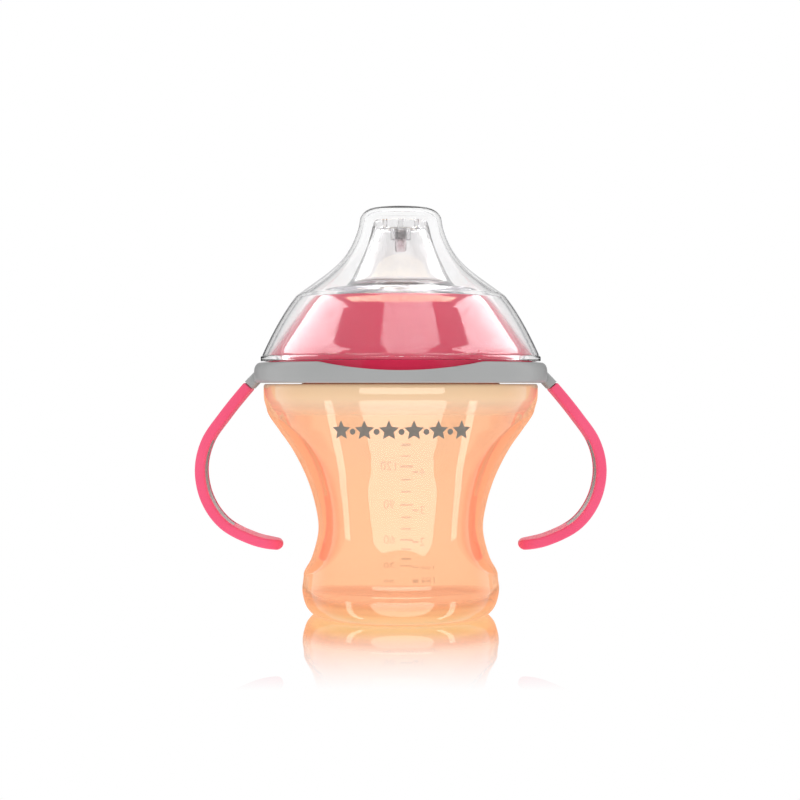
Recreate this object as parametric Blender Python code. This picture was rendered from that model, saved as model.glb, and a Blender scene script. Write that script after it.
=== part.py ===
"""Training cup with a soft spout: cup, handle ring with two gripped arms, screw cap, spout, valve, hood.

The cup stands on the XY plane with its axis on +Z. The arms lie along X, and the hood's thumb lip
faces -Y. Sizes here are in millimetres; MM turns them into metres when a mesh is made.
"""
import math

import bmesh
import bpy
from mathutils import Vector

MM = 0.001
SEGMENTS = 36                     # facets round every large turned piece
FULL_TURN = 2 * math.pi
GAP = 0.3                         # room left between pieces that touch

# Cup
CUP_WALL = 1.5
SHOULDER_RADIUS = 39.0
SHOULDER_TOP = 65.5
FOOT_RADIUS = 23.9
FOOT_RING_WIDTH = 2.6
FLOOR_TOP = 3.2
NECK_RADIUS = 28.0
NECK_BORE_RADIUS = 26.4
NECK_TOP = 79.6
SIDE_OUTLINE = [(FOOT_RADIUS, 0.0), (25.4, 0.7), (26.9, 2.6), (27.8, 5.4), (28.0, 8.0), (27.5, 12.0),
                (25.2, 16.5), (23.4, 24.0), (24.2, 31.0), (26.6, 38.8), (30.5, 46.7),
                (34.6, 52.6), (37.6, 57.0), (38.8, 61.0), (SHOULDER_RADIUS, 64.6)]
PANEL_OUTLINE = [(28.0, 8.0), (27.6, 11.5), (27.75, 16.0), (28.1, 21.0), (28.55, 25.0), (29.1, 29.0),
                 (29.95, 34.0), (31.1, 39.0), (32.8, 44.0), (34.5, 48.5), (36.3, 53.4), (37.9, 58.0),
                 (38.8, 61.0)]    # front and back, less waisted
PANEL_LOW = 8.0                   # heights between which the front outline differs from the side's
PANEL_HIGH = 61.0
RECESS_CENTRE = 30.0              # the almond-shaped finger recess on each side, widest at this height
RECESS_ABOVE = 28.0               # how far it reaches up and down from there
RECESS_BELOW = 18.5
RECESS_HALF_ANGLE = 55.0          # degrees it reaches from the side towards the front

# Screw thread between cup and cap: right-handed, in phase half a pitch apart
PITCH = 4.0
NECK_THREAD_START = 71.0
NECK_THREAD_TURNS = 1.5
NECK_THREAD_CREST = 29.4
CAP_THREAD_START = 73.0
CAP_THREAD_TURNS = 1.0
CAP_THREAD_CREST = 28.6
THREAD_ROOT_HALF = 0.95           # half width of a ridge at its root and at its crest
THREAD_CREST_HALF = 0.55
THREAD_SINK = 0.8                 # how deep a ridge's root lies in the wall that carries it
THREAD_STEPS = 24                 # sections in one turn

# Handle ring and its two arms
RING_RADIUS = 41.6
RING_BOTTOM = SHOULDER_TOP + GAP
RING_FLOOR_TOP = 68.4
RING_TOP = 71.5
RING_HOLE_RADIUS = 31.0
RING_INNER_RADIUS = 38.3
NOTCH_RADIUS = 100.0              # the front notch is the underside of a wide arc
NOTCH_BOTTOM = 69.1
ARM_WIDTH = 10.6
ARM_THICKNESS = 2.9
CORE_WIDTH = 7.6
CORE_THICKNESS = 1.2
ROOT_LENGTH = 4.3                 # plain grey arm before the grip begins
TIP_LENGTH = 5.5                  # soft tip beyond the end of the core
WINDOW_LOW = 24.5                 # heights between which the core shows inside the arm
WINDOW_HIGH = 50.0
WINDOW_RAMP = 0.3
ARM_ROUTE = [(39.9, 68.3), (44.1, 63.8), (49.9, 56.6), (54.9, 49.2), (56.7, 41.0), (54.9, 32.5),
             (49.8, 25.6), (41.4, 21.3), (33.5, 19.7)]
ARM_STEPS = 3                     # sections between two points of the route

# Screw cap
SKIRT_RADIUS = 37.5
SKIRT_BOTTOM = 69.0
CAP_TOP = 90.3
CAP_BORE_RADIUS = 24.2
LEDGE_HEIGHT = 81.4               # underside that presses the spout's flange on the neck
CAP_WALL_INNER = 29.9
CAP_WALL_OUTER = 31.5
CAP_POCKET_TOP = 77.4

# Spout and valve
FLANGE_RADIUS = 28.9
FLANGE_BOTTOM = NECK_TOP + GAP
FLANGE_TOP = LEDGE_HEIGHT - GAP
SPOUT_DOME_RADIUS = 23.8
SPOUT_TIP_TOP = 112.0
SPOUT_ROOF = 109.4
SOCKET_RADIUS = 2.95
SOCKET_BORE = 1.95
SOCKET_BOTTOM = 106.4
VENT_RADIUS = 0.8
OVAL_START = 93.5                 # the spout is round below here and oval above OVAL_END
OVAL_END = 107.0
OVAL_RATIO = 0.70
DRINK_HOLE_X = 3.9
DRINK_HOLE_RADIUS = 0.6
VALVE_RADIUS = SOCKET_BORE - GAP
VALVE_BORE = 0.95
VALVE_TOP = SPOUT_ROOF - GAP
VALVE_BOTTOM = 102.0
VALVE_BILL_RATIO = 0.5            # the valve's lower end is flattened to this in Y
VALVE_SLIT = 0.36

# Hood
HOOD_WALL = 1.2
HOOD_RIM = 71.9
HOOD_TOP = 115.4
HOOD_TOP_RADIUS = 8.5
HOOD_KINK = (29.8, 90.4)          # where the cone below meets the throat above at an angle
LIP_REACH = 1.6                   # how far the thumb lip stands proud of the rim
LIP_HALF_WIDTH = 22.0
LIP_THICKNESS = 1.4
RIM_RADIUS = 39.8


# ---------------------------------------------------------------- outlines

def curve_through(points, steps):
    """Points on a smooth curve (Catmull-Rom) through the given points, with steps to each span."""
    ends = [points[0]] + list(points) + [points[-1]]
    curve = []
    for i in range(1, len(ends) - 2):
        before, start, end, after = (Vector(ends[i + k]) for k in (-1, 0, 1, 2))
        for step in range(steps):
            t = step / steps
            curve.append(0.5 * (2 * start + (end - before) * t
                                + (2 * before - 5 * start + 4 * end - after) * t ** 2
                                + (3 * start - before - 3 * end + after) * t ** 3))
    curve.append(Vector(points[-1]))
    return [tuple(point) for point in curve]


def arc(centre, radius, start, end, steps=3):
    """Points on an arc from one angle to another, in degrees, in the (radius, height) plane."""
    angles = [math.radians(start + (end - start) * i / steps) for i in range(steps + 1)]
    return [(centre[0] + radius * math.cos(a), centre[1] + radius * math.sin(a)) for a in angles]


def offset_inward(points, distance):
    """The outline moved sideways, to the left of its own direction."""
    moved = []
    for i, point in enumerate(points):
        ahead = Vector(points[min(i + 1, len(points) - 1)])
        behind = Vector(points[max(i - 1, 0)])
        along = (ahead - behind).normalized()
        moved.append((point[0] - along.y * distance, point[1] + along.x * distance))
    return moved


def smooth_step(value, low, high):
    t = min(max((value - low) / (high - low), 0.0), 1.0)
    return t * t * (3 - 2 * t)


# ---------------------------------------------------------------- mesh making

def turned(outline, segments=SEGMENTS, closed=True):
    """A solid of revolution about Z from (radius, height) points; an open outline ends on the axis."""
    bm = bmesh.new()
    verts = [bm.verts.new((radius, 0, height)) for radius, height in outline]
    pairs = list(zip(verts, verts[1:]))
    if closed:
        pairs.append((verts[-1], verts[0]))
    edges = [bm.edges.new(pair) for pair in pairs]
    bmesh.ops.spin(bm, geom=verts + edges, cent=(0, 0, 0), axis=(0, 0, 1), angle=FULL_TURN,
                   steps=segments, use_merge=True)
    bmesh.ops.remove_doubles(bm, verts=bm.verts, dist=0.001)
    bmesh.ops.recalc_face_normals(bm, faces=bm.faces)
    return bm


def skinned(sections):
    """A closed solid through a row of sections, each with the same number of points."""
    bm = bmesh.new()
    rings = [[bm.verts.new(point) for point in section] for section in sections]
    count = len(rings[0])
    for ring, following in zip(rings, rings[1:]):
        for i in range(count):
            j = (i + 1) % count
            bm.faces.new((ring[i], ring[j], following[j], following[i]))
    bm.faces.new(reversed(rings[0]))
    bm.faces.new(rings[-1])
    bmesh.ops.recalc_face_normals(bm, faces=bm.faces)
    return bm


def helical_ridge(root, crest, start, turns):
    """A thread ridge that rises with the angle and fades into its wall at both ends."""
    sections = []
    steps = round(turns * THREAD_STEPS)
    for i in range(steps + 1):
        angle = FULL_TURN * i / THREAD_STEPS
        height = start + PITCH * i / THREAD_STEPS
        fade = min(1.0, (min(i, steps - i) + 0.6) / 2.5)
        top = root + (crest - root) * fade
        profile = [(root, -THREAD_ROOT_HALF), (top, -THREAD_CREST_HALF),
                   (top, THREAD_CREST_HALF), (root, THREAD_ROOT_HALF)]
        sections.append([(r * math.cos(angle), r * math.sin(angle), height + z) for r, z in profile])
    return skinned(sections)


def cylinder(radius, bottom, top, x=0.0, segments=12):
    bm = turned([(0, bottom), (radius, bottom), (radius, top), (0, top)], segments, closed=False)
    bmesh.ops.translate(bm, verts=bm.verts, vec=(x, 0, 0))
    return bm


def box(low, high):
    bm = bmesh.new()
    bmesh.ops.create_cube(bm, size=1.0)
    size = Vector(high) - Vector(low)
    bmesh.ops.scale(bm, verts=bm.verts, vec=size)
    bmesh.ops.translate(bm, verts=bm.verts, vec=(Vector(high) + Vector(low)) / 2)
    return bm


# ---------------------------------------------------------------- objects

def principled(name, colour, roughness, transmission=0.0):
    material = bpy.data.materials.new(name)
    material.use_nodes = True
    shader = material.node_tree.nodes["Principled BSDF"]
    shader.inputs["Base Color"].default_value = (*colour, 1.0)
    shader.inputs["Roughness"].default_value = roughness
    shader.inputs["Metallic"].default_value = 0.0
    shader.inputs["Transmission Weight"].default_value = transmission
    material.diffuse_color = (*colour, 1.0)
    return material


def add_object(name, bm, material=None):
    bmesh.ops.scale(bm, verts=bm.verts, vec=(MM, MM, MM))
    mesh = bpy.data.meshes.new(name)
    bm.to_mesh(mesh)
    bm.free()
    mesh.shade_smooth()
    mesh.set_sharp_from_angle(angle=math.radians(35))
    item = bpy.data.objects.new(name, mesh)
    bpy.context.scene.collection.objects.link(item)
    if material:
        mesh.materials.append(material)
    return item


def add_tool(name, bm):
    """A shape that only cuts or completes another one."""
    tool = add_object(name, bm)
    tool.hide_render = True
    tool.display_type = "WIRE"
    return tool


def combine(item, tool, operation):
    boolean = item.modifiers.new(tool.name, "BOOLEAN")
    boolean.operation = operation
    boolean.solver = "EXACT"
    boolean.object = tool


# ---------------------------------------------------------------- cup

def recess_reach(height):
    """How far a side recess reaches from the side towards the front at this height, in radians."""
    reach = RECESS_ABOVE if height > RECESS_CENTRE else RECESS_BELOW
    away = min(abs(height - RECESS_CENTRE) / reach, 1.0)
    return math.radians(RECESS_HALF_ANGLE) * math.sqrt(1 - away ** 3)


def radius_at(curve, height):
    for (radius, low), (next_radius, high) in zip(curve, curve[1:]):
        if low <= height <= high:
            return radius + (next_radius - radius) * (height - low) / (high - low)
    return curve[-1][0]


def panel_factor(x, y, height, side, panel):
    """How much wider than its side outline the cup is in the direction (x, y)."""
    from_side = math.atan2(abs(y), abs(x))
    reach = recess_reach(height)
    outward = min(from_side / reach, 1.0) if reach > 0.01 else 1.0
    gain = radius_at(panel, height) / radius_at(side, height) - 1
    return 1 + gain * (1 - math.cos(outward * math.pi / 2))


def make_cup():
    side = curve_through(SIDE_OUTLINE, 2)
    panel = curve_through(PANEL_OUTLINE, 2)
    neck = [(38.4, SHOULDER_TOP), (NECK_RADIUS, SHOULDER_TOP), (NECK_RADIUS, NECK_TOP - 0.5),
            (NECK_RADIUS - 0.4, NECK_TOP), (NECK_BORE_RADIUS + 0.4, NECK_TOP),
            (NECK_BORE_RADIUS, NECK_TOP - 0.5)]
    under_shoulder = [(NECK_BORE_RADIUS, SHOULDER_TOP - 1.8), (36.4, SHOULDER_TOP - 1.8)]
    wall = [point for point in offset_inward(side, CUP_WALL) if FLOOR_TOP + 2 < point[1] < 62.5]
    floor = [(24.6, FLOOR_TOP + 0.5), (23.6, FLOOR_TOP), (0.0, FLOOR_TOP - 0.4)]
    underside = [(0.0, 1.0), (FOOT_RADIUS - FOOT_RING_WIDTH - 0.8, 1.0),
                 (FOOT_RADIUS - FOOT_RING_WIDTH, 0.0)]
    outline = underside + side + neck + under_shoulder + wall[::-1] + floor
    bm = turned(outline, closed=False)
    for vert in bm.verts:
        if PANEL_LOW < vert.co.z < PANEL_HIGH:
            factor = panel_factor(*vert.co, side, panel)
            vert.co.x *= factor
            vert.co.y *= factor
    cup = add_object("cup", bm, principled("orange_clear_plastic", (0.99, 0.43, 0.19), 0.12, 0.3))
    ridge = helical_ridge(NECK_RADIUS - THREAD_SINK, NECK_THREAD_CREST, NECK_THREAD_START,
                          NECK_THREAD_TURNS)
    combine(cup, add_tool("neck_thread_ridge", ridge), "UNION")


# ---------------------------------------------------------------- ring, arms and grips

def arm_points():
    """The arm's middle line on the +X side, with the distance run and the inward direction."""
    route = curve_through(ARM_ROUTE, ARM_STEPS)
    run = 0.0
    points = []
    for i, here in enumerate(route):
        ahead = Vector(route[min(i + 1, len(route) - 1)])
        behind = Vector(route[max(i - 1, 0)])
        along = (ahead - behind).normalized()
        if i:
            run += (Vector(here) - Vector(route[i - 1])).length
        points.append((here, run, (along.y, -along.x)))
    return points


def arm_section(side, here, inward, half_width, outer, inner, rounding):
    """A rounded rectangle across the arm, from outer to inner along the inward direction."""
    section = []
    corners = [(inner, half_width, 0), (outer, half_width, 90), (outer, -half_width, 180),
               (inner, -half_width, 270)]
    for depth, y, first in corners:
        centre_depth = depth - math.copysign(rounding, depth - (outer + inner) / 2)
        centre_y = y - math.copysign(rounding, y)
        angles = [first, first + 90] if rounding else [first]
        for angle in angles:
            d = centre_depth + rounding * math.cos(math.radians(angle))
            w = centre_y + rounding * math.sin(math.radians(angle))
            section.append((side * (here[0] + inward[0] * d), w, here[1] + inward[1] * d))
    return section


def run_at_height(points, height):
    """Run at which the arm comes down to a height."""
    for (above, run, _), (below, next_run, _) in zip(points, points[1:]):
        if above[1] >= height >= below[1]:
            return run + (next_run - run) * (above[1] - height) / (above[1] - below[1])
    return points[-1][1]


def core_solid(side, clearance=0.0):
    """The hard core inside the grip; with a clearance it is the space cut for it in the grip."""
    points = arm_points()
    start = ROOT_LENGTH - 3 * clearance
    end = points[-1][1] - TIP_LENGTH + clearance
    window_start = run_at_height(points, WINDOW_HIGH) - clearance
    window_end = run_at_height(points, WINDOW_LOW) + clearance
    half_width = CORE_WIDTH / 2 + clearance
    hidden = CORE_THICKNESS / 2 + clearance
    shown = ARM_THICKNESS / 2 + (1.5 if clearance else -0.15)
    runs = [start, end, window_start, window_start + WINDOW_RAMP, window_end - WINDOW_RAMP, window_end]
    runs += [run for _, run, _ in points if start + 0.4 < run < end - 0.4
             and min(abs(run - window_start), abs(run - window_end)) > 2 * WINDOW_RAMP]
    sections = []
    if not clearance:
        half = ARM_THICKNESS / 2
        for run in (0.0, ROOT_LENGTH):
            here, inward = point_at(points, run)
            sections.append(arm_section(side, here, inward, ARM_WIDTH / 2, -half, half, 0))
    for run in sorted(runs):
        here, inward = point_at(points, run)
        into_window = min(run - window_start, window_end - run) / WINDOW_RAMP
        inner = hidden + (shown - hidden) * min(max(into_window, 0.0), 1.0)
        sections.append(arm_section(side, here, inward, half_width, -hidden, inner, 0))
    return skinned(sections)


def point_at(points, wanted):
    """Position and inward direction at a given run along the arm."""
    for (here, run, inward), (there, next_run, next_inward) in zip(points, points[1:]):
        if run <= wanted <= next_run:
            t = (wanted - run) / (next_run - run)
            return (tuple(Vector(here).lerp(Vector(there), t)),
                    tuple(Vector(inward).lerp(Vector(next_inward), t).normalized()))
    return points[-1][0], points[-1][2]


def grip_solid(side):
    points = arm_points()
    total = points[-1][1]
    start = ROOT_LENGTH + GAP
    runs = [start] + [run for _, run, _ in points if start + 0.8 < run < total - TIP_LENGTH]
    rounding_runs = [total - TIP_LENGTH * k for k in (0.85, 0.6, 0.38, 0.2, 0.08, 0.0)]
    sections = []
    for run in runs + rounding_runs:
        here, inward = point_at(points, run)
        left = total - run
        across = math.sqrt(1 - (1 - min(left / TIP_LENGTH, 1.0)) ** 2)
        through = math.sqrt(1 - (1 - min(left / 1.6, 1.0)) ** 2)
        half_width = max(ARM_WIDTH / 2 * across, 1.6)
        half = max(ARM_THICKNESS / 2 * through, 0.55)
        sections.append(arm_section(side, here, inward, half_width, -half, half, 0.45))
    return skinned(sections)


def make_ring():
    outline = [(RING_HOLE_RADIUS, RING_BOTTOM), (41.0, RING_BOTTOM), (RING_RADIUS, 66.4),
               (RING_RADIUS, 69.2), (41.2, 70.7), (40.3, RING_TOP), (38.6, RING_TOP),
               (RING_INNER_RADIUS, 71.2), (RING_INNER_RADIUS, RING_FLOOR_TOP),
               (RING_HOLE_RADIUS, RING_FLOOR_TOP)]
    ring = add_object("handle_ring", turned(outline), principled("grey_plastic", (0.34, 0.35, 0.36), 0.35))
    for side, word in ((1, "right"), (-1, "left")):
        combine(ring, add_tool(f"arm_core_{word}", core_solid(side)), "UNION")
    spread = math.radians(16)
    steps = 10
    under = []
    for i in range(steps + 1):
        angle = -math.pi / 2 - spread + 2 * spread * i / steps
        under.append((NOTCH_RADIUS * math.cos(angle),
                      NOTCH_BOTTOM + NOTCH_RADIUS * (1 + math.sin(angle))))
    sections = [[(x, y, z) for x, z in under + [(under[-1][0], 80.0), (under[0][0], 80.0)]]
                for y in (-RING_RADIUS - 3, -RING_RADIUS + 18)]
    combine(ring, add_tool("notch_cutter", skinned(sections)), "DIFFERENCE")


def make_grips():
    for side, word in ((-1, "left"), (1, "right")):
        grip = add_object(f"grip_{word}", grip_solid(side),
                          principled(f"pink_soft_plastic_{word}", (0.93, 0.11, 0.22), 0.45))
        combine(grip, add_tool(f"core_space_{word}", core_solid(side, GAP)), "DIFFERENCE")


# ---------------------------------------------------------------- screw cap

def make_cap():
    outer = curve_through([(SKIRT_RADIUS, SKIRT_BOTTOM), (SKIRT_RADIUS, 73.0), (36.6, 75.2),
                           (34.7, 78.1), (29.9, 83.8), (27.6, 86.6), (25.95, 89.2)], 2)
    rim = [(25.5, 90.0), (25.0, CAP_TOP), (CAP_BORE_RADIUS + 0.4, CAP_TOP),
           (CAP_BORE_RADIUS, CAP_TOP - 0.4)]
    clamp = [(CAP_BORE_RADIUS, LEDGE_HEIGHT), (CAP_WALL_INNER, LEDGE_HEIGHT),
             (CAP_WALL_INNER, SKIRT_BOTTOM + 0.8), (CAP_WALL_OUTER, SKIRT_BOTTOM + 0.8)]
    pocket = [(CAP_WALL_OUTER, CAP_POCKET_TOP), (33.4, CAP_POCKET_TOP), (35.3, 74.8),
              (SKIRT_RADIUS - CUP_WALL, 73.0), (SKIRT_RADIUS - CUP_WALL, SKIRT_BOTTOM)]
    cap = add_object("screw_cap", turned(outer + rim + clamp + pocket),
                     principled("pink_gloss_plastic", (0.90, 0.12, 0.19), 0.2))
    ridge = helical_ridge(CAP_WALL_INNER + THREAD_SINK, CAP_THREAD_CREST, CAP_THREAD_START,
                          CAP_THREAD_TURNS)
    combine(cap, add_tool("cap_thread_ridge", ridge), "UNION")


# ---------------------------------------------------------------- spout and valve

def oval_ratio(height):
    return 1 - (1 - OVAL_RATIO) * smooth_step(height, OVAL_START, OVAL_END)


def make_spout():
    dome = [(FLANGE_RADIUS, FLANGE_BOTTOM), (FLANGE_RADIUS, FLANGE_TOP),
            (SPOUT_DOME_RADIUS, FLANGE_TOP), (SPOUT_DOME_RADIUS, 89.6), (23.2, 91.0), (21.8, 91.9)]
    mouthpiece = curve_through([(18.6, 92.4), (16.2, 92.9), (14.0, 94.9), (11.7, 99.2),
                                (9.6, 104.3), (8.2, 109.2), (7.75, 111.2)], 2)
    tip = [(7.1, SPOUT_TIP_TOP), (VENT_RADIUS, SPOUT_TIP_TOP), (VENT_RADIUS, SPOUT_ROOF)]
    socket = [(SOCKET_BORE, SPOUT_ROOF), (SOCKET_BORE, SOCKET_BOTTOM), (SOCKET_RADIUS, SOCKET_BOTTOM),
              (SOCKET_RADIUS, SPOUT_ROOF)]
    inside = [(5.8, SPOUT_ROOF), (6.5, 108.4), (7.9, 104.3), (10.0, 99.2), (12.4, 94.6), (15.0, 91.3),
              (20.4, 90.3), (21.9, 88.8), (21.9, FLANGE_BOTTOM)]
    bm = turned(dome + mouthpiece + tip + socket + inside, 32)
    for vert in bm.verts:
        if math.hypot(vert.co.x, vert.co.y) > SOCKET_RADIUS + 0.1:
            vert.co.y *= oval_ratio(vert.co.z)
    spout = add_object("spout", bm, principled("clear_silicone", (0.80, 0.80, 0.82), 0.15, 0.8))
    for side, word in ((-1, "left"), (1, "right")):
        hole = cylinder(DRINK_HOLE_RADIUS, SPOUT_ROOF - 2, SPOUT_TIP_TOP + 2, side * DRINK_HOLE_X, 10)
        combine(spout, add_tool(f"drink_hole_{word}", hole), "DIFFERENCE")


def make_valve():
    outline = [(0, VALVE_BOTTOM), (1.3, VALVE_BOTTOM), (VALVE_RADIUS, VALVE_BOTTOM + 0.6),
               (VALVE_RADIUS, 105.8), (VALVE_RADIUS, VALVE_TOP), (VALVE_BORE, VALVE_TOP),
               (VALVE_BORE, 105.8), (VALVE_BORE, VALVE_BOTTOM + 1.2), (0, VALVE_BOTTOM + 1.2)]
    bm = turned(outline, 16, closed=False)
    for vert in bm.verts:
        flat = 1 - smooth_step(vert.co.z, VALVE_BOTTOM + 1.0, 105.8)
        vert.co.y *= 1 - (1 - VALVE_BILL_RATIO) * flat
    valve = add_object("spout_valve", bm, principled("valve_silicone", (0.85, 0.83, 0.84), 0.3, 0.4))
    slit = box((-VALVE_BORE + 0.1, -VALVE_SLIT / 2, VALVE_BOTTOM - 1),
               (VALVE_BORE - 0.1, VALVE_SLIT / 2, VALVE_BOTTOM + 2))
    combine(valve, add_tool("valve_slit", slit), "DIFFERENCE")


# ---------------------------------------------------------------- hood

def make_hood():
    cone = curve_through([(RIM_RADIUS - 0.4, HOOD_RIM + LIP_THICKNESS + 0.3), (38.3, 75.8),
                          (35.9, 80.9), (32.9, 86.2), HOOD_KINK], 2)
    throat = curve_through([HOOD_KINK, (24.7, 94.9), (19.4, 98.3), (16.0, 101.7), (13.7, 105.2),
                            (12.0, 110.3)], 2)
    outer = cone + throat[1:]
    crown = arc((HOOD_TOP_RADIUS, HOOD_TOP - 3.0), 3.0, 20, 90, 4)
    inner_crown = [(0, HOOD_TOP - 1.4), (HOOD_TOP_RADIUS - 0.3, HOOD_TOP - 1.4), (9.9, HOOD_TOP - 2.4)]
    inner = offset_inward(outer, HOOD_WALL)[:-1:2]
    bead = [(38.5, HOOD_RIM + 0.9), (38.7, HOOD_RIM)]
    lip = [(RIM_RADIUS, HOOD_RIM), (RIM_RADIUS, HOOD_RIM + LIP_THICKNESS)]
    bm = turned(inner_crown + inner[::-1] + bead + lip + outer + crown + [(0, HOOD_TOP)], closed=False)
    for vert in bm.verts:
        radius = math.hypot(vert.co.x, vert.co.y)
        if abs(radius - RIM_RADIUS) < 0.01 and vert.co.y < 0:
            across = min(abs(vert.co.x) / LIP_HALF_WIDTH, 1.0)
            factor = 1 + LIP_REACH / RIM_RADIUS * (1 - across ** 2)
            vert.co.x *= factor
            vert.co.y *= factor
    add_object("hood", bm, principled("clear_plastic", (0.93, 0.94, 0.95), 0.05, 0.95))


def main():
    for item in list(bpy.data.objects):
        bpy.data.objects.remove(item, do_unlink=True)
    make_cup()
    make_ring()
    make_grips()
    make_cap()
    make_spout()
    make_valve()
    make_hood()


main()
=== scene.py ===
import math

import bpy
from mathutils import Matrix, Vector


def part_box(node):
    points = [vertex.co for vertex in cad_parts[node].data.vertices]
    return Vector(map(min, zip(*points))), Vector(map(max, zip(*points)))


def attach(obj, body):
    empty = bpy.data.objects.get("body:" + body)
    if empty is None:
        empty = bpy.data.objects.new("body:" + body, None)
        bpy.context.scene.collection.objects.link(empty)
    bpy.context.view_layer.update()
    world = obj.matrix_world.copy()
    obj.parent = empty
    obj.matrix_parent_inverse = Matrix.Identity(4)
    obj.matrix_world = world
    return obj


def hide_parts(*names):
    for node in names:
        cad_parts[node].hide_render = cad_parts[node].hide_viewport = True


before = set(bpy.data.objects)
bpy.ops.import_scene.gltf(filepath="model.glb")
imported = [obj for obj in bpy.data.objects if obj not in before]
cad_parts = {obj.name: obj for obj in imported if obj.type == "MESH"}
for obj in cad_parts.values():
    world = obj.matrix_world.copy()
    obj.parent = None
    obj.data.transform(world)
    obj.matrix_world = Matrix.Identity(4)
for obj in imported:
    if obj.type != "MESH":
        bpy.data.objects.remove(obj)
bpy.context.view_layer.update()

MM = 0.001
FULL_TURN = 2 * math.pi

# Outlines are (radius, height) in millimetres, as the part is drawn; placer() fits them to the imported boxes.
# Cup
CUP_WALL = 1.5
SHOULDER_RADIUS = 39.0
SHOULDER_TOP = 65.5
NECK_RADIUS = 28.0
NECK_BORE = 26.4
NECK_TOP = 79.6
FLOOR_TOP = 3.2
SIDE_OUTLINE = [(23.9, 0.0), (25.4, 0.7), (26.9, 2.6), (27.8, 5.4), (28.0, 8.0), (27.5, 12.0),
                (25.2, 16.5), (23.4, 24.0), (24.2, 31.0), (26.6, 38.8), (30.5, 46.7), (34.6, 52.6),
                (37.6, 57.0), (38.8, 61.0), (39.0, 64.6)]
PANEL_OUTLINE = [(28.0, 8.0), (27.6, 11.5), (27.75, 16.0), (28.1, 21.0), (28.55, 25.0), (29.1, 29.0),
                 (29.95, 34.0), (31.1, 39.0), (32.8, 44.0), (34.5, 48.5), (36.3, 53.4), (37.9, 58.0),
                 (38.8, 61.0)]
RECESS_CENTRE = 30.0
RECESS_ABOVE = 28.0
RECESS_BELOW = 18.5
RECESS_HALF_ANGLE = math.radians(55)
CREASE = 0.045                    # half width of the rounded crease, as a share of the recess's reach
LEAST_REACH = math.radians(8)
PITCH = 4.0
RIDGE_ROOT_HALF = 0.95
RIDGE_CREST_HALF = 0.55
NECK_RIDGE = 1.4
NECK_THREAD_START = 71.0
NECK_THREAD_TURNS = 1.5
MARKS = ((40.5, 38.9, "120", "4"), (29.0, 27.4, "90", "3"), (18.6, 18.0, "60", "2"),
         (10.8, 9.9, "30", "1oz"))                # height of the left and right mark, and their texts
SMALL_MARKS = (47.2, 43.9, 36.7, 32.9, 25.2, 22.1, 15.9, 13.2)
DIGIT_SIZE = 3.8
OUNCE_SIZE = 3.6
STAR_COUNT = 6
STAR_PITCH = 6.6
STAR_HEIGHT = 53.2
FIRST_STAR = -16.3

# Ring and arms
RING_RADIUS = 41.6
RING_TOP = 71.5
RING_OUTLINE = [(31.0, 65.8), (40.6, 65.8), (41.15, 65.95), (41.5, 66.3), (41.6, 66.8), (41.6, 69.2),
                (41.5, 70.0), (41.2, 70.7), (40.8, 71.2), (40.3, 71.5), (38.7, 71.5), (38.4, 71.4),
                (38.3, 71.1), (38.3, 68.4), (31.0, 68.4)]
NOTCH_RADIUS = 100.0
NOTCH_BOTTOM = 69.1
ARM_ROUTE = [(39.9, 68.3), (44.1, 63.8), (49.9, 56.6), (54.9, 49.2), (56.7, 41.0), (54.9, 32.5),
             (49.8, 25.6), (41.4, 21.3), (33.5, 19.7)]
ARM_WIDTH = 10.6
ARM_THICKNESS = 2.9
ROOT_LENGTH = 4.3
TIP_LENGTH = 5.5
LINER_WIDTH = 7.6
WINDOW_HIGH = 50.0
WINDOW_LOW = 24.5

# Cap
SKIRT_RADIUS = 37.5
CAP_TOP = 90.3
CAP_SKIRT = [(37.5, 69.0), (37.5, 72.6), (37.3, 73.6), (36.6, 75.0)]
CAP_CONE = [(36.6, 75.0), (27.6, 87.2)]
CAP_RIM = [(27.15, 87.8), (26.6, 88.45), (26.0, 89.1), (25.5, 89.6), (25.0, 90.0), (24.7, 90.25),
           (24.4, 90.2), (24.2, 89.9)]
CAP_BORE = 29.9
CAP_INSIDE = [(24.2, 81.4), (CAP_BORE, 81.4)]
CAP_RIDGE = 1.3
CAP_THREAD_START = 73.0
CAP_THREAD_TURNS = 1.0
CAP_POCKET = [(31.5, 69.8), (31.5, 77.4), (33.4, 77.4), (35.3, 74.8), (36.0, 73.0), (36.0, 69.0)]

# Spout
SPOUT_TOP = 112.0
FLANGE_RADIUS = 28.9
SOCKET_OUTER = 2.95
DRINK_HOLE_RADIUS = 0.6
DRINK_HOLE_PLACE = 3.9
SPOUT_BASE = [(28.9, 79.9), (28.9, 81.1), (23.8, 81.1), (23.8, 89.4), (23.6, 90.3), (23.0, 91.2),
              (21.8, 91.9)]
SPOUT_NECK = [(21.8, 91.9), (18.6, 92.4), (16.2, 92.9), (14.0, 94.9), (11.7, 99.2), (9.6, 104.3),
              (8.2, 109.2), (7.75, 111.2)]
SPOUT_TIP = [(7.5, 111.7), (7.1, 112.0), (0.8, 112.0), (0.8, 109.4)]
SPOUT_SOCKET = [(1.95, 109.4), (1.95, 106.4), (SOCKET_OUTER, 106.4), (SOCKET_OUTER, 109.4)]
SPOUT_INSIDE = [(5.8, 109.4), (6.5, 108.4), (7.9, 104.3), (10.0, 99.2), (12.4, 94.6), (15.0, 91.3),
                (20.4, 90.3), (21.9, 88.8), (21.9, 79.9)]
OVAL_START = 93.5
OVAL_END = 107.0
OVAL_RATIO = 0.70
VALVE_RADIUS = 1.65
VALVE_TOP = 109.1
VALVE_OUTLINE = [(0.0, 102.0), (1.2, 102.0), (VALVE_RADIUS, 102.6), (VALVE_RADIUS, 105.8),
                 (VALVE_RADIUS, 108.9), (1.45, VALVE_TOP), (0.95, VALVE_TOP), (0.95, 105.8),
                 (0.95, 103.2), (0.0, 103.2)]

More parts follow.
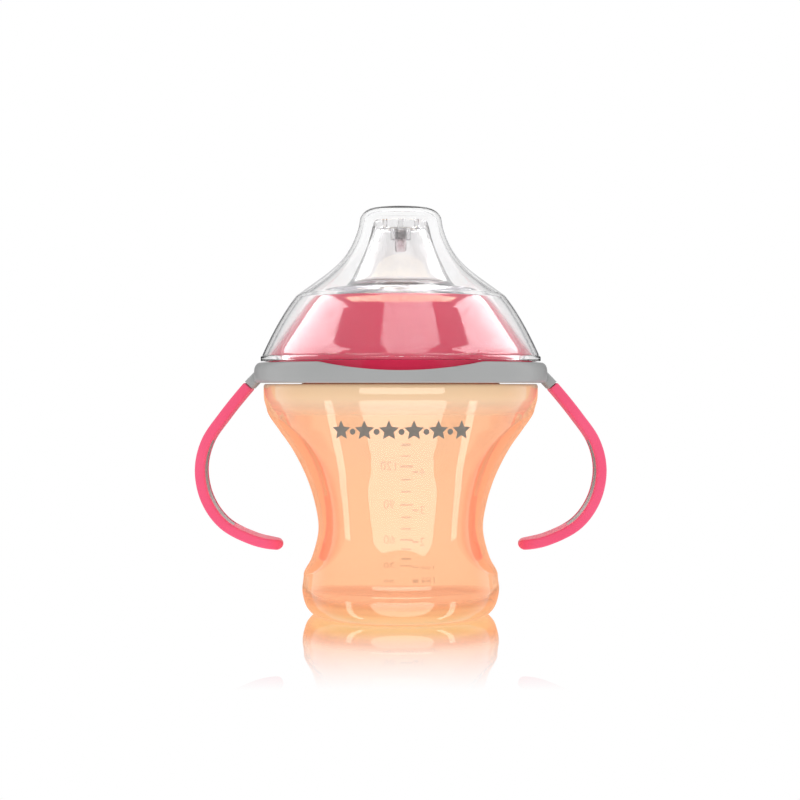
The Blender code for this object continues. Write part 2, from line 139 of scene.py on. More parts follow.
# Hood
HOOD_TOP = 115.4
HOOD_RIM = 71.9
HOOD_WALL = 1.2
HOOD_RADIUS = 39.8
HOOD_KINK = (29.8, 90.4)
HOOD_CONE = [(39.4, 73.6), (34.46, 84.57), HOOD_KINK]
HOOD_THROAT = [HOOD_KINK, (20.3, 97.6), (15.1, 99.5), (12.0, 110.0)]
LIP_REACH = 1.6
LIP_HALF_WIDTH = 22.0
LIP_THICKNESS = 1.4

# Studio, in metres
ROOM_BEHIND_CAMERA = 0.3          # how bright the room on the camera's side looks in glossy surfaces
OVERHEAD = 0.56                   # height of the cards above the cup
WARM_WALL_PLACE = 0.5
CARD_WHITE = (1.0, 1.0, 1.0)
BAND_CREAM = (1.0, 0.86, 0.62)
WALL_ORANGE = (1.0, 0.50, 0.29)
CAMERA_PLACE = (-0.0002, -0.461, 0.0655)
CAMERA_LENS = 72.8
CAMERA_DIP = 0.567                # degrees below level


# ---------------------------------------------------------------- outlines

def curve_through(points, steps):
    """Points on a smooth curve (Catmull-Rom) through the given points."""
    ends = [points[0]] + list(points) + [points[-1]]
    curve = []
    for i in range(1, len(ends) - 2):
        before, start, end, after = (Vector(ends[i + k]) for k in (-1, 0, 1, 2))
        for step in range(steps):
            t = step / steps
            curve.append(0.5 * (2 * start + (end - before) * t
                                + (2 * before - 5 * start + 4 * end - after) * t ** 2
                                + (3 * start - before - 3 * end + after) * t ** 3))
    curve.append(Vector(points[-1]))
    return [tuple(point) for point in curve]


def bezier(controls, steps):
    """Points on the Bezier curve of any number of control points."""
    curve = []
    for i in range(steps + 1):
        level = [Vector(point) for point in controls]
        while len(level) > 1:
            level = [a.lerp(b, i / steps) for a, b in zip(level, level[1:])]
        curve.append(tuple(level[0]))
    return curve


def arc(centre, radius, start, end, steps):
    """Points on an arc, from start to end in degrees."""
    angles = [math.radians(start + (end - start) * i / steps) for i in range(steps + 1)]
    return [(centre[0] + radius * math.cos(a), centre[1] + radius * math.sin(a)) for a in angles]


def offset_inward(points, distance):
    """The outline moved to its left by a wall's thickness, which is inward for one that climbs."""
    moved = []
    for i, point in enumerate(points):
        ahead = Vector(points[min(i + 1, len(points) - 1)])
        behind = Vector(points[max(i - 1, 0)])
        along = (ahead - behind).normalized()
        moved.append((point[0] - along.y * distance, point[1] + along.x * distance))
    return moved


def straight(start, end, steps):
    return [tuple(Vector(start).lerp(Vector(end), i / steps)) for i in range(steps + 1)]


def radius_at(curve, height):
    for (radius, low), (next_radius, high) in zip(curve, curve[1:]):
        if low <= height <= high and high > low:
            return radius + (next_radius - radius) * (height - low) / (high - low)
    return curve[-1][0]


def smooth_step(value, low, high):
    t = min(max((value - low) / (high - low), 0.0), 1.0)
    return t * t * (3 - 2 * t)


# ---------------------------------------------------------------- meshes

def placer(node, half_width, top, across="x"):
    """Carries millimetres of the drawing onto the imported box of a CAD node."""
    low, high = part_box(node)
    size = (getattr(high, across) - getattr(low, across)) / 2 / half_width
    return lambda point: Vector((point[0] * size, point[1] * size, high.z + (point[2] - top) * size))


def add_object(name, verts, faces, place, material, sharp=35):
    mesh = bpy.data.meshes.new(name)
    mesh.from_pydata([place(v) for v in verts], [], faces)
    mesh.validate()
    mesh.shade_smooth()
    mesh.set_sharp_from_angle(angle=math.radians(sharp))
    mesh.materials.append(material)
    item = bpy.data.objects.new(name, mesh)
    bpy.context.scene.collection.objects.link(item)
    return item


def even_angles(count):
    angles = [FULL_TURN * i / count for i in range(count)]
    return lambda height: angles


def turned(outline, angles, shape=None, closed=False):
    """Vertices and faces of a turned surface; shape(radius, angle, height) may move each point."""
    verts, faces, rows = [], [], []
    for radius, height in outline:
        if radius < 1e-6:
            rows.append([len(verts)])
            verts.append((0.0, 0.0, height))
            continue
        rows.append([])
        for angle in angles(height):
            r, z = shape(radius, angle, height) if shape else (radius, height)
            rows[-1].append(len(verts))
            verts.append((r * math.cos(angle), r * math.sin(angle), z))
    pairs = list(zip(rows, rows[1:]))
    if closed:
        pairs.append((rows[-1], rows[0]))
    for low, high in pairs:
        count = max(len(low), len(high))
        for i in range(count):
            j = (i + 1) % count
            if len(low) == 1:
                faces.append((low[0], high[j], high[i]))
            elif len(high) == 1:
                faces.append((low[i], low[j], high[0]))
            else:
                faces.append((low[i], low[j], high[j], high[i]))
    return verts, faces


def skinned(sections):
    """Vertices and faces of a closed skin over a row of sections with the same number of points."""
    count = len(sections[0])
    verts = [point for section in sections for point in section]
    faces = []
    for row in range(len(sections) - 1):
        for i in range(count):
            j = (i + 1) % count
            a = row * count
            faces.append((a + i, a + j, a + count + j, a + count + i))
    faces.append(tuple(reversed(range(count))))
    faces.append(tuple(range(len(verts) - count, len(verts))))
    return verts, faces


def thread(height, angle, start, turns):
    """Share of a ridge's full height that a right-hand thread reaches at this place."""
    share = 0.0
    turn = angle / FULL_TURN
    while turn <= turns:
        distance = abs(height - start - PITCH * turn)
        body = (RIDGE_ROOT_HALF - distance) / (RIDGE_ROOT_HALF - RIDGE_CREST_HALF)
        fade = min(turn, turns - turn) * 10
        share = max(share, min(max(body, 0.0), 1.0) * min(max(fade, 0.0), 1.0))
        turn += 1
    return share


# ---------------------------------------------------------------- materials

class Graph:
    """Short ways to make and join the nodes of one node tree."""

    def __init__(self, tree):
        self.tree = tree

    def node(self, kind, **values):
        made = self.tree.nodes.new(kind)
        for key, value in values.items():
            if key in made.inputs:
                made.inputs[key].default_value = value
            else:
                setattr(made, key, value)
        return made

    def link(self, source, target):
        self.tree.links.new(source, target)

    def ranged(self, value, low, high, from_low=0.3, from_high=0.7, smooth=False):
        kind = "SMOOTHSTEP" if smooth else "LINEAR"
        made = self.node("ShaderNodeMapRange", interpolation_type=kind)
        for key, number in (("From Min", from_low), ("From Max", from_high), ("To Min", low),
                            ("To Max", high)):
            made.inputs[key].default_value = number
        self.link(value, made.inputs["Value"])
        return made.outputs["Result"]

    def maths(self, operation, first, second=None, clamp=False):
        made = self.node("ShaderNodeMath", operation=operation, use_clamp=clamp)
        for i, value in enumerate((first, second)):
            if isinstance(value, (int, float)):
                made.inputs[i].default_value = value
            elif value is not None:
                self.link(value, made.inputs[i])
        return made.outputs["Value"]

    def mixed(self, factor, first, second):
        made = self.node("ShaderNodeMix", data_type="RGBA")
        self.link(factor, made.inputs["Factor"])
        for socket, value in ((made.inputs[6], first), (made.inputs[7], second)):
            if isinstance(value, tuple):
                socket.default_value = (*value, 1.0)
            else:
                self.link(value, socket)
        return made.outputs[2]

    def split(self, vector):
        made = self.node("ShaderNodeSeparateXYZ")
        self.link(vector, made.inputs["Vector"])
        return made.outputs

    def blend_shaders(self, factor, first, second):
        """Ends the tree with a mix of two shaders."""
        blend = self.node("ShaderNodeMixShader")
        self.link(factor, blend.inputs["Fac"])
        self.link(first, blend.inputs[1])
        self.link(second, blend.inputs[2])
        self.link(blend.outputs["Shader"], self.node("ShaderNodeOutputMaterial").inputs["Surface"])


class Paint(Graph):
    """A node material built round one Principled shader."""

    def __init__(self, name):
        self.material = bpy.data.materials.new(name)
        self.material.use_nodes = True
        super().__init__(self.material.node_tree)
        self.shader = self.tree.nodes["Principled BSDF"]
        self.place = self.node("ShaderNodeTexCoord").outputs["Object"]

    def set(self, **values):
        for key, value in values.items():
            self.shader.inputs[key.replace("_", " ")].default_value = value

    def noise(self, scale, detail=3.0):
        texture = self.node("ShaderNodeTexNoise", Scale=scale, Detail=detail)
        self.link(self.place, texture.inputs["Vector"])
        return texture.outputs["Fac"]

    def cloudy(self, scale, detail, first, second):
        """Soft patches of two colours."""
        return self.mixed(self.ranged(self.noise(scale, detail), 0.0, 1.0), first, second)

    def height(self):
        return self.split(self.place)["Z"]

    def colour(self, source):
        self.link(source, self.shader.inputs["Base Color"])

    def rough(self, source):
        self.link(source, self.shader.inputs["Roughness"])

    def bump(self, source, distance, strength=1.0):
        made = self.node("ShaderNodeBump", Distance=distance, Strength=strength)
        self.link(source, made.inputs["Height"])
        self.link(made.outputs["Normal"], self.shader.inputs["Normal"])

    def facing(self):
        """0 where the surface faces the eye, 1 where it is seen edge on."""
        return self.node("ShaderNodeLayerWeight", Blend=0.5).outputs["Facing"]


def in_recess(paint):
    """1 inside the almond-shaped recesses on the cup's sides, 0 outside them."""
    split = paint.split(paint.place)
    across = paint.maths("ABSOLUTE", split["X"])
    angle = paint.maths("ARCTAN2", paint.maths("ABSOLUTE", split["Y"]), across)
    above = paint.maths("DIVIDE", paint.maths("SUBTRACT", split["Z"], RECESS_CENTRE * MM),
                        RECESS_ABOVE * MM)
    below = paint.maths("MULTIPLY", above, -RECESS_ABOVE / RECESS_BELOW)
    away = paint.maths("MAXIMUM", above, below)
    rest = paint.maths("SUBTRACT", 1.0, paint.maths("POWER", away, 3.0), clamp=True)
    reach = paint.maths("MULTIPLY", paint.maths("SQRT", rest), RECESS_HALF_ANGLE)
    return paint.ranged(paint.maths("SUBTRACT", reach, angle), 0.0, 1.0, -0.02, 0.05, smooth=True)


def orange_plastic():
    """Clear tinted plastic, deeper in colour at the floor; its deeper colour in the recesses and where seen
    edge on is painted shade.
    """
    paint = Paint("orange_clear_plastic")
    height = paint.height()
    colour = paint.cloudy(38.0, 2.0, (1.0, 0.735, 0.535), (1.0, 0.75, 0.56))
    low = paint.ranged(height, 1.0, 0.0, 0.010, 0.035, smooth=True)
    colour = paint.mixed(low, colour, (1.0, 0.735, 0.54))
    # painted shade: inside the recesses the colour is mixed towards a deeper orange, as if in shade
    colour = paint.mixed(paint.maths("MULTIPLY", in_recess(paint), 0.9), colour, (1.0, 0.56, 0.37))
    top = paint.ranged(height, 0.0, 1.0, 0.058, 0.063, smooth=True)
    colour = paint.mixed(top, colour, (1.0, 0.72, 0.46))
    foot = paint.ranged(height, 1.0, 0.0, 0.0045, 0.0075, smooth=True)
    colour = paint.mixed(foot, colour, (1.0, 0.53, 0.27))
    sole = paint.ranged(height, 1.0, 0.0, 0.0008, 0.0042, smooth=True)
    colour = paint.mixed(sole, colour, (1.0, 0.68, 0.32))
    # painted shade: deeper orange where the wall is seen edge on, for the longer path of light through it
    edge = paint.maths("POWER", paint.facing(), 2.5)
    colour = paint.mixed(paint.maths("MULTIPLY", edge, 0.9), colour, (1.0, 0.50, 0.28))
    paint.colour(colour)
    paint.rough(paint.ranged(paint.noise(120.0), 0.02, 0.035))
    paint.bump(paint.noise(60.0, 2.0), 0.00002)
    upper = paint.ranged(height, 0.8, 0.12, 0.056, 0.062, smooth=True)
    lower = paint.ranged(height, 0.3, 0.8, 0.0035, 0.0075, smooth=True)
    paint.link(paint.maths("MINIMUM", upper, lower), paint.shader.inputs["Transmission Weight"])
    paint.set(IOR=1.45, Coat_Weight=0.6, Coat_Roughness=0.03,
              Specular_Tint=(1.0, 0.80, 0.62, 1.0), Coat_Tint=(1.0, 0.97, 0.93, 1.0))
    return paint.material


def grey_plastic():
    paint = Paint("grey_satin_plastic")
    paint.colour(paint.cloudy(45.0, 3.0, (0.38, 0.385, 0.385), (0.41, 0.415, 0.415)))
    paint.rough(paint.ranged(paint.noise(300.0), 0.30, 0.42))
    paint.bump(paint.noise(2600.0, 2.0), 0.00004, 0.5)
    paint.set(IOR=1.46)
    return paint.material


def pink_soft():
    paint = Paint("pink_soft_plastic")
    paint.colour(paint.cloudy(55.0, 3.0, (0.94, 0.085, 0.20), (0.98, 0.11, 0.235)))
    paint.rough(paint.ranged(paint.noise(420.0), 0.40, 0.52))
    paint.bump(paint.noise(3200.0, 2.0), 0.00006, 0.6)
    paint.set(IOR=1.45, Sheen_Weight=0.15)
    return paint.material


def pink_gloss():
    paint = Paint("pink_gloss_plastic")
    paint.colour(paint.cloudy(40.0, 2.0, (0.97, 0.04, 0.12), (1.0, 0.05, 0.135)))
    paint.rough(paint.ranged(paint.noise(160.0), 0.07, 0.11))
    paint.bump(paint.noise(90.0, 2.0), 0.00003)
    paint.set(IOR=1.48, Coat_Weight=0.5, Coat_Roughness=0.03)
    return paint.material


def clear_silicone():
    """Clear soft silicone, with painted shade: greyer at its root and a dark line where seen edge on."""
    paint = Paint("clear_silicone")
    colour = paint.cloudy(150.0, 3.0, (0.955, 0.95, 0.955), (0.98, 0.975, 0.98))
    # painted shade: a greyer, mauve root where the spout rises out of the cap
    root = paint.ranged(paint.height(), 1.0, 0.0, 0.0915, 0.0945, smooth=True)
    colour = paint.mixed(root, colour, (0.66, 0.64, 0.69))
    # painted shade: a near-black line where the silicone is seen edge on, for the dark edge of clear material
    edge = paint.ranged(paint.facing(), 0.0, 1.0, 0.62, 0.86, smooth=True)
    colour = paint.mixed(edge, colour, (0.02, 0.02, 0.03))
    paint.colour(colour)
    paint.rough(paint.ranged(paint.noise(260.0), 0.05, 0.09))
    paint.bump(paint.noise(120.0, 2.0), 0.00003)
    paint.set(IOR=1.38, Transmission_Weight=0.92, Specular_Tint=(0.6, 0.6, 0.6, 1.0))
    return paint.material


def valve_silicone():
    paint = Paint("pinkish_silicone")
    paint.colour(paint.cloudy(400.0, 3.0, (0.95, 0.80, 0.83), (0.98, 0.86, 0.88)))
    paint.rough(paint.ranged(paint.noise(500.0), 0.2, 0.3))
    paint.bump(paint.noise(900.0, 2.0), 0.00003)
    paint.set(IOR=1.38, Transmission_Weight=0.85)
    return paint.material


def clear_plastic():
    """Clear hard plastic with a thin dark line of painted shade where seen edge on."""
    paint = Paint("clear_hood_plastic")
    colour = paint.cloudy(60.0, 2.0, (0.985, 0.985, 0.988), (0.997, 0.997, 0.998))
    # painted shade: a near-black line where the hood is seen edge on, for the dark edge of clear plastic
    edge = paint.ranged(paint.facing(), 0.0, 1.0, 0.80, 0.90, smooth=True)
    colour = paint.mixed(edge, colour, (0.02, 0.02, 0.03))
    paint.colour(colour)
    paint.rough(paint.ranged(paint.noise(200.0), 0.01, 0.025))
    paint.bump(paint.noise(70.0, 2.0), 0.00002)
    paint.set(IOR=1.42, Transmission_Weight=1.0, Specular_Tint=(0.55, 0.55, 0.56, 1.0))
    return paint.material


def ink(name, dark, light):
    paint = Paint(name)
    paint.colour(paint.cloudy(900.0, 3.0, dark, light))
    paint.rough(paint.ranged(paint.noise(500.0), 0.38, 0.5))
    paint.bump(paint.noise(2400.0, 2.0), 0.00003, 0.5)
    paint.set(IOR=1.45)
    return paint.material


# ---------------------------------------------------------------- cup

side_curve = curve_through(SIDE_OUTLINE, 10)
panel_curve = curve_through(PANEL_OUTLINE, 10)


def recess_reach(height):
    reach = RECESS_ABOVE if height > RECESS_CENTRE else RECESS_BELOW
    away = min(abs(height - RECESS_CENTRE) / reach, 1.0)
    return RECESS_HALF_ANGLE * math.sqrt(1 - away ** 3)


def recess_shape(outward):
    """Share of the way from the recess's deepest line to the plain front, with a rounded crease."""
    def summed(u):
        flat = min(max(u, -1.0), 1.0)
        beyond = u - flat
        return flat - 2 / math.pi * math.sin(flat * math.pi / 2) + beyond
    return (summed(outward + CREASE) - summed(outward - CREASE)) / (2 * CREASE)


def cup_angles(height):
    """Directions of the cup's columns: they follow the crease of the recess as it opens and closes."""
    reach = max(recess_reach(height), LEAST_REACH)
    shares = [i / 12 * (1 - 1.4 * CREASE) for i in range(12)]
    shares += [1 - 1.4 * CREASE + i / 6 * 2.8 * CREASE for i in range(7)]
    quarter = [reach * share for share in shares]
    last = quarter[-1]
    quarter += [last + (math.pi / 2 - last) * i / 16 for i in range(1, 17)]
    angles = quarter[:-1]
    angles += [math.pi - a for a in reversed(quarter)][:-1]
    angles += [math.pi + a for a in quarter[:-1]]
    angles += [FULL_TURN - a for a in reversed(quarter)][:-1]
    return angles


def cup_shape(radius, angle, height):
    if PANEL_OUTLINE[0][1] < height < PANEL_OUTLINE[-1][1]:
        from_side = math.atan2(abs(math.sin(angle)), abs(math.cos(angle)))
        reach = recess_reach(height)
        outward = min(from_side / reach, 4.0) if reach > 0.01 else 4.0
        gain = radius_at(panel_curve, height) / radius_at(side_curve, height) - 1
        return radius * (1 + gain * recess_shape(outward)), height
    if height > NECK_THREAD_START - 3.0 and radius > NECK_BORE + 0.6:
        ridge = thread(height, angle, NECK_THREAD_START, NECK_THREAD_TURNS)
        return radius + NECK_RIDGE * ridge, height
    return radius, height


def wall_point(across, height, side, proud=0.06):
    """The point on the cup's front (side -1) or back (side 1) at this width, a little proud of it."""
    radius = radius_at(panel_curve, height) + proud
    angle = side * (math.pi / 2 - across / radius)
    return radius * math.cos(angle), radius * math.sin(angle), height


def make_cup(place, material):
    shoulder = [(38.95, 65.0), (38.75, 65.35), (38.4, SHOULDER_TOP), (NECK_RADIUS + 0.3, SHOULDER_TOP)]
    neck = straight((NECK_RADIUS, SHOULDER_TOP + 0.3), (NECK_RADIUS, NECK_TOP - 0.5), 46)
    mouth = [(NECK_RADIUS - 0.15, NECK_TOP - 0.15), (NECK_RADIUS - 0.4, NECK_TOP),
             (NECK_BORE + 0.4, NECK_TOP), (NECK_BORE + 0.1, NECK_TOP - 0.15), (NECK_BORE, NECK_TOP - 0.5)]
    under = [(NECK_BORE, SHOULDER_TOP - 1.2), (NECK_BORE + 0.6, SHOULDER_TOP - 1.8),
             (35.6, SHOULDER_TOP - 1.8), (36.8, SHOULDER_TOP - 2.2)]
    wall = [point for point in offset_inward(side_curve, CUP_WALL) if FLOOR_TOP + 4.5 < point[1] < 62.5]
    floor = bezier([wall[0], (26.0, 4.4), (24.4, FLOOR_TOP), (20.0, FLOOR_TOP)], 10)[1:]
    floor += [(12.0, FLOOR_TOP - 0.15), (0.0, FLOOR_TOP - 0.4)]
    underside = [(0.0, 1.2), (18.6, 1.2), (19.6, 1.05), (20.4, 0.6), (21.0, 0.15), (21.4, 0.0)]
    outline = underside + side_curve + shoulder + neck + mouth + under + wall[::-1] + floor
    verts, faces = turned(outline, cup_angles, cup_shape)
    cup = add_object("cup_shell", verts, faces, place, material, 40)
    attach(cup, "cup")
    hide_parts("cup")
    cup.visible_shadow = False        # light passes a clear cup; a full shadow would dull its own far wall


def text_shapes(text, size):
    """Flat outline faces of a text in the font that comes with the program, centred on its middle."""
    curve = bpy.data.curves.new("digits", "FONT")
    curve.body = text
    curve.size = size
    curve.align_x = "CENTER"
    curve.align_y = "CENTER"
    holder = bpy.data.objects.new("digits", curve)
    bpy.context.scene.collection.objects.link(holder)
    bpy.context.view_layer.update()
    mesh = holder.evaluated_get(bpy.context.evaluated_depsgraph_get()).to_mesh()
    verts = [(v.co.x, v.co.y) for v in mesh.vertices]
    faces = [tuple(polygon.vertices) for polygon in mesh.polygons]
    bpy.data.objects.remove(holder)
    bpy.data.curves.remove(curve)
    return verts, faces


def bar(x_low, x_high, height, thickness):
    """A flat printed line in short steps, so that it can bend round the cup."""
    steps = max(1, round(x_high - x_low))
    verts, faces = [], []
    for i in range(steps + 1):
        x = x_low + (x_high - x_low) * i / steps
        verts += [(x, height - thickness / 2), (x, height + thickness / 2)]
    for i in range(steps):
        faces.append((2 * i, 2 * i + 2, 2 * i + 3, 2 * i + 1))
    return verts, faces


def rosette(x, height, outer, inner, points):
    """A flat star; with inner equal to outer it is a dot."""
    verts = [(x, height)]
    for i in range(points * 2):
        radius = outer if i % 2 == 0 else inner
        angle = math.pi / 2 + math.pi * i / points
        verts.append((x + radius * math.cos(angle), height + radius * math.sin(angle)))
    count = points * 2
    return verts, [(0, 1 + i, 1 + (i + 1) % count) for i in range(count)]


def add_print(name, shapes, side, place, material):
    verts, faces = [], []
    for shape_verts, shape_faces in shapes:
        first = len(verts)
        verts += [wall_point(x, z, side) for x, z in shape_verts]
        faces += [tuple(first + i for i in face) for face in shape_faces]
    item = add_object(name, verts, faces, place, material)
    item.visible_shadow = False
    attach(item, "cup")


def make_prints(place):
    """The volume scale on the back, which reads the right way round from there, and the front's stars."""
    scale = []
    for height, ounce_height, left, right in MARKS:
        scale.append(bar(-0.2, 3.8, height, 0.6))
        scale.append(bar(3.7, 5.6, ounce_height, 0.6))
        for text, size, x, z in ((left, DIGIT_SIZE, -3.6, height),
                                 (right, OUNCE_SIZE, 5.9 + len(right), ounce_height)):
            verts, faces = text_shapes(text, size)
            scale.append(([(x - vx, vy + z) for vx, vy in verts], faces))
    for height in SMALL_MARKS:
        scale.append(bar(0.2, 3.2, height, 0.5))
    add_print("scale_print", scale, 1, place, ink("scale_ink", (0.03, 0.03, 0.025), (0.05, 0.045, 0.04)))
    row = []
    for i in range(STAR_COUNT):
        x = FIRST_STAR + STAR_PITCH * i
        row.append(rosette(x, STAR_HEIGHT, 2.75, 1.3, 5))
        if i < STAR_COUNT - 1:
            row.append(rosette(x + STAR_PITCH / 2, STAR_HEIGHT - 0.3, 0.8, 0.8, 8))
    add_print("star_print", row, -1, place, ink("star_ink", (0.21, 0.185, 0.16), (0.26, 0.23, 0.20)))


# ---------------------------------------------------------------- ring, arms, grips

arm_curve = curve_through(ARM_ROUTE, 12)


def arm_stations():
    """Points of the arm's middle line: place, run from its root, inward direction."""
    run = 0.0
    stations = []
    for i, here in enumerate(arm_curve):
        ahead = Vector(arm_curve[min(i + 1, len(arm_curve) - 1)])
        behind = Vector(arm_curve[max(i - 1, 0)])
        along = (ahead - behind).normalized()
        if i:
            run += (Vector(here) - Vector(arm_curve[i - 1])).length
        stations.append((here, run, (along.y, -along.x)))
    return stations


stations = arm_stations()
arm_length = stations[-1][1]


def station_at(wanted):
    for (here, run, inward), (there, next_run, next_inward) in zip(stations, stations[1:]):
        if run <= wanted <= next_run:
            t = (wanted - run) / (next_run - run)
            return Vector(here).lerp(Vector(there), t), Vector(inward).lerp(Vector(next_inward), t)
    return Vector(stations[-1][0]), Vector(stations[-1][2])


def run_at_height(height):
    for (above, run, _), (below, next_run, _) in zip(stations, stations[1:]):
        if above[1] >= height >= below[1]:
            return run + (next_run - run) * (above[1] - height) / (above[1] - below[1])
    return arm_length


def arm_section(side, run, half_width, half, rounding, groove=0.0):
    """A rounded rectangle across the arm, with a shallow groove along its inner side."""
    here, inward = station_at(run)
    inward = inward.normalized()
    rounding = min(rounding, half * 0.98, half_width * 0.98)
    profile = []
    for depth_sign, width_sign, first in ((-1, 1, 90), (-1, -1, 180), (1, -1, 270)):
        for k in range(6):
            angle = math.radians(first + 18 * k)
            profile.append((depth_sign * (half - rounding) + rounding * math.cos(angle),
                            width_sign * (half_width - rounding) + rounding * math.sin(angle)))
    edge = min(LINER_WIDTH / 2 + 0.35, half_width * 0.72)
    profile += [(half, -edge), (half - groove, -edge + 0.12), (half - groove, edge - 0.12), (half, edge)]
    for k in range(6):
        angle = math.radians(18 * k)
        profile.append((half - rounding + rounding * math.cos(angle),
                        half_width - rounding + rounding * math.sin(angle)))
    return [(side * (here.x + inward.x * d), w, here.y + inward.y * d) for d, w in profile]


def make_ring(place, grey):
    def notched(radius, angle, height):
        x, y = radius * math.cos(angle), radius * math.sin(angle)
        if y < 0 and abs(x) < 30:
            height = min(height, NOTCH_BOTTOM + NOTCH_RADIUS - math.sqrt(NOTCH_RADIUS ** 2 - x * x))
        return radius, height

    verts, faces = turned(RING_OUTLINE, even_angles(192), notched, closed=True)
    ring = add_object("neck_ring", verts, faces, place, grey, 38)
    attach(ring, "handles")
    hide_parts("handle_ring")
    half, half_width = ARM_THICKNESS / 2, ARM_WIDTH / 2
    start, end = run_at_height(WINDOW_HIGH), run_at_height(WINDOW_LOW)
    for side, word in ((-1, "left"), (1, "right")):
        root = [arm_section(side, ROOT_LENGTH * i / 6, half_width, half, 0.7) for i in range(7)]
        item = add_object(f"arm_root_{word}", *skinned(root), place, grey, 38)
        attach(item, "handles")
        liner = []
        for i in range(61):
            run = start - 0.6 + (end - start + 1.2) * i / 60
            here, inward = station_at(run)
            inward = inward.normalized()
            wide = LINER_WIDTH / 2
            profile = [(half - 0.7, wide), (half - 0.7, -wide), (half - 0.3, -wide),
                       (half - 0.17, -wide + 0.15), (half - 0.12, 0), (half - 0.17, wide - 0.15),
                       (half - 0.3, wide)]
            liner.append([(side * (here.x + inward.x * d), w, here.y + inward.y * d) for d, w in profile])
        item = add_object(f"arm_liner_{word}", *skinned(liner), place, grey, 38)
        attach(item, "handles")


def make_grips(place, pink):
    start, end = run_at_height(WINDOW_HIGH), run_at_height(WINDOW_LOW)
    begin = ROOT_LENGTH + 0.3
    runs = [begin, begin + 0.1, begin + 0.25, begin + 0.45]
    runs += [begin + 0.45 + (arm_length - TIP_LENGTH - begin - 0.45) * i / 90 for i in range(1, 91)]
    runs += [start + k for k in (-0.3, 0.0, 0.3)] + [end + k for k in (-0.3, 0.0, 0.3)]
    runs += [arm_length - TIP_LENGTH * (1 - math.sin(math.pi / 2 * i / 16)) for i in range(1, 17)]
    for side, word in ((-1, "left"), (1, "right")):
        sections = []
        for run in sorted(runs):
            left = arm_length - run
            across = math.sqrt(max(1 - (1 - min(left / TIP_LENGTH, 1.0)) ** 2, 0.0))
            through = math.sqrt(max(1 - (1 - min(left / 1.6, 1.0)) ** 2, 0.0))
            swell = math.sqrt(1 - (1 - min((run - begin) / 0.45, 1.0)) ** 2)
            half_width = max(ARM_WIDTH / 2 * across, 0.12) - 0.3 * (1 - swell)
            half = max(ARM_THICKNESS / 2 * through, 0.1) - 0.3 * (1 - swell)
            groove = 0.5 * smooth_step(min(run - start, end - run), -0.25, 0.25)
            sections.append(arm_section(side, run, half_width, half, 0.75, groove))
        grip = add_object(f"soft_grip_{word}", *skinned(sections), place, pink, 38)
        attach(grip, "handles")
        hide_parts(f"grip_{word}")


# ---------------------------------------------------------------- cap, spout, valve, hood

def make_cap(place, material):
    cone = curve_through(CAP_SKIRT, 4)[:-1] + straight(*CAP_CONE, 12)
    wall = straight((CAP_BORE, 81.2), (CAP_BORE, 70.0), 44) + [(CAP_BORE + 0.2, 69.8)]

    def threaded(radius, angle, height):
        if radius < CAP_BORE + 0.1 and 70.5 < height < 81.0:
            return radius - CAP_RIDGE * thread(height, angle, CAP_THREAD_START, CAP_THREAD_TURNS), height
        return radius, height

    outline = cone + CAP_RIM + CAP_INSIDE + wall + CAP_POCKET
    verts, faces = turned(outline, even_angles(160), threaded, closed=True)
    cap = add_object("collar_cap", verts, faces, place, material, 38)
    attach(cap, "cap")
    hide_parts("screw_cap")


def make_spout(place, material):
    outline = SPOUT_BASE[:-1] + curve_through(SPOUT_NECK, 8) + SPOUT_TIP + SPOUT_SOCKET + SPOUT_INSIDE
    round_verts, faces = turned(outline, even_angles(96), closed=True)
    verts = []
    for x, y, z in round_verts:
        if math.hypot(x, y) > SOCKET_OUTER + 0.1:
            y *= 1 - (1 - OVAL_RATIO) * smooth_step(z, OVAL_START, OVAL_END)
        verts.append((x, y, z))
    spout = add_object("soft_spout", verts, faces, place, material, 35)
    for side in (-1, 1):
        hole, hole_faces = turned([(0.0, 107.0), (DRINK_HOLE_RADIUS, 107.0), (DRINK_HOLE_RADIUS, 114.0),
                                   (0.0, 114.0)], even_angles(20))
        hole = [(x + side * DRINK_HOLE_PLACE, y, z) for x, y, z in hole]
        cutter = add_object(f"drink_hole_{side}", hole, hole_faces, place, material, 35)
        cut = spout.modifiers.new("drink_hole", "BOOLEAN")
        cut.operation = "DIFFERENCE"
        cut.solver = "EXACT"
        cut.object = cutter
        bpy.context.view_layer.update()
        ready = bpy.data.meshes.new_from_object(spout.evaluated_get(bpy.context.evaluated_depsgraph_get()))
        spout.modifiers.clear()
        spout.data = ready
        bpy.data.objects.remove(cutter)
    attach(spout, "spout_set")
    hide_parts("spout")


def make_valve(place, material):
    verts, faces = turned(VALVE_OUTLINE, even_angles(40))
    flattened = []
    for x, y, z in verts:
        flat = 1 - smooth_step(z, 103.0, 105.8)
        flattened.append((x, y * (1 - 0.5 * flat), z))
    valve = add_object("duckbill_valve", flattened, faces, place, material, 35)
    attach(valve, "valve")
    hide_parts("spout_valve")


